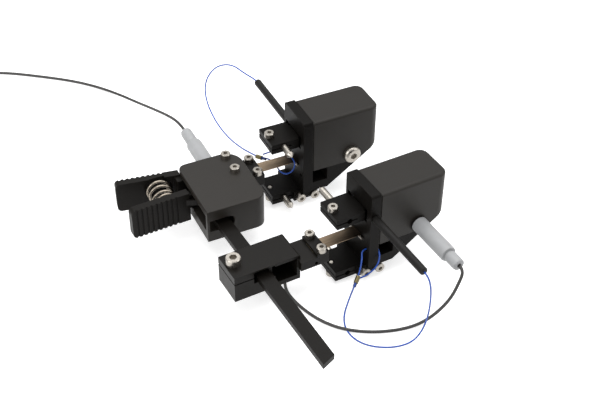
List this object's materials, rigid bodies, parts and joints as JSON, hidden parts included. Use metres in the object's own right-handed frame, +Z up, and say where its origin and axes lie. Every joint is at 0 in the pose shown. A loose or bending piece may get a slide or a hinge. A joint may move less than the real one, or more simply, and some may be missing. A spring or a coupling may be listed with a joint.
{
  "type": "clip-on extensometer",
  "caption": "Averaging clip-on extensometer: a spring clamp with a sliding cross bar carries measuring heads whose contact points grip a test specimen from both sides.",
  "frame": {"origin": "centre of the gauge length on the specimen axis, midway between the contact tips of both heads", "axes": "+X from the squeeze handles to the heads, +Y from the front head to the rear head, +Z up along the specimen"},
  "size_m": [0.2083, 0.2427, 0.0395],
  "materials": {
    "black_anodised": "matt black anodised",
    "stainless": "plain stainless steel",
    "leaf_steel": "brown tempered spring steel",
    "spring_steel": "bright drawn spring wire",
    "blackened_steel": "black oxide",
    "grey_plastic": "light grey moulded plastic",
    "black_cable": "black cable jacket",
    "blue_cord": "blue plastic coated cord",
    "board": "green circuit board",
    "crimp_brass": "dull brass sleeve",
    "brass_strip": "gauge strip",
    "connector_metal": "plated connector shell"
  },
  "bodies": {
    "clamp": {"clamp_body": "black_anodised", "body_screws": "stainless", "leaf_seat": "black_anodised", "pivot_pin": "stainless", "rear_handle": "black_anodised", "handle_spring": "spring_steel", "rear_leaf_plate": "black_anodised", "rear_leaf_screws": "stainless", "rear_leaf_spring": "leaf_steel", "main_plug": "grey_plastic", "main_cable": "black_cable", "cable_coil": "black_cable", "connector_lead": "black_cable", "connector_grip": "black_cable", "connector_shell": "connector_metal"},
    "front_lever": {"front_handle": "black_anodised", "guide_bar": "blackened_steel", "lever_rivets": "stainless"},
    "slide": {"slide_block": "black_anodised", "slide_lock_screw": "stainless", "front_leaf_plate": "black_anodised", "front_leaf_screws": "stainless", "front_leaf_spring": "leaf_steel", "link_cable": "black_cable"},
    "rear_head": {"rear_base": "black_anodised", "rear_cover": "black_anodised", "rear_lower_arm": "black_anodised", "rear_lower_contact": "stainless", "rear_lower_arm_screw": "stainless", "rear_root_screws": "stainless", "rear_pivot": "stainless", "rear_board": "board", "rear_leaf_pin": "stainless", "rear_sensing_strip": "brass_strip", "rear_port_screw": "stainless", "rear_lanyard": "blue_cord", "rear_crimp": "crimp_brass"},
    "front_head": {"front_base": "black_anodised", "front_cover": "black_anodised", "front_lower_arm": "black_anodised", "front_lower_contact": "stainless", "front_lower_arm_screw": "stainless", "front_root_screws": "stainless", "front_pivot": "stainless", "front_board": "board", "front_leaf_pin": "stainless", "front_sensing_strip": "brass_strip", "front_port_ring": "black_anodised", "front_plug": "grey_plastic", "front_lanyard": "blue_cord", "front_crimp": "crimp_brass"},
    "rear_measuring_arm": {"rear_upper_arm": "black_anodised", "rear_upper_contact": "stainless", "rear_upper_arm_screw": "stainless"},
    "front_measuring_arm": {"front_upper_arm": "black_anodised", "front_upper_contact": "stainless", "front_upper_arm_screw": "stainless"},
    "rear_lock_pin": {"rear_lock_pin": "blackened_steel"},
    "front_lock_pin": {"front_lock_pin": "blackened_steel"}
  },
  "joints": [
    {"name": "squeeze", "type": "hinge", "parent": "clamp", "child": "front_lever", "pos_m": [-0.0275, 0.014, 0], "axis": [0, 0, 1], "range_deg": [-8, 0], "stiffness_Nm_per_rad": 0.06, "deforming": ["handle_spring"]},
    {"name": "slide_along_bar", "type": "slide", "parent": "front_lever", "child": "slide", "axis": [-0.061, 0.9981, 0], "range_m": [-0.036, 0.016]},
    {"name": "rear_head_flex", "type": "hinge", "parent": "clamp", "child": "rear_head", "pos_m": [-0.001, 0.0235, 0.0015], "axis": [0, 1, 0], "range_deg": [-3, 3], "stiffness_Nm_per_rad": 0.4, "deforming": ["rear_leaf_spring"]},
    {"name": "front_head_flex", "type": "hinge", "parent": "slide", "child": "front_head", "pos_m": [0.00149, -0.0259, 0.0015], "axis": [-0.061, 0.9981, 0], "range_deg": [-3, 3], "stiffness_Nm_per_rad": 0.4, "deforming": ["front_leaf_spring", "link_cable"]},
    {"name": "rear_arm_measure", "type": "hinge", "parent": "rear_head", "child": "rear_measuring_arm", "pos_m": [0.02, 0.02367, 0.0125], "axis": [0, 1, 0], "range_deg": [-2.5, 2.5], "stiffness_Nm_per_rad": 0.05, "deforming": ["rear_sensing_strip"]},
    {"name": "front_arm_measure", "type": "hinge", "parent": "front_head", "child": "front_measuring_arm", "pos_m": [0.02244, -0.02442, 0.0125], "axis": [-0.061, 0.9981, 0], "range_deg": [-2.5, 2.5], "stiffness_Nm_per_rad": 0.05, "deforming": ["front_sensing_strip"]},
    {"name": "rear_lock_pull", "type": "slide", "parent": "rear_head", "child": "rear_lock_pin", "axis": [0, 1, 0], "range_m": [-0.0026, 0.016], "deforming": ["rear_lanyard"]},
    {"name": "front_lock_pull", "type": "slide", "parent": "front_head", "child": "front_lock_pin", "axis": [0.061, -0.9981, 0], "range_m": [-0.0026, 0.016], "deforming": ["front_lanyard"]}
  ]
}
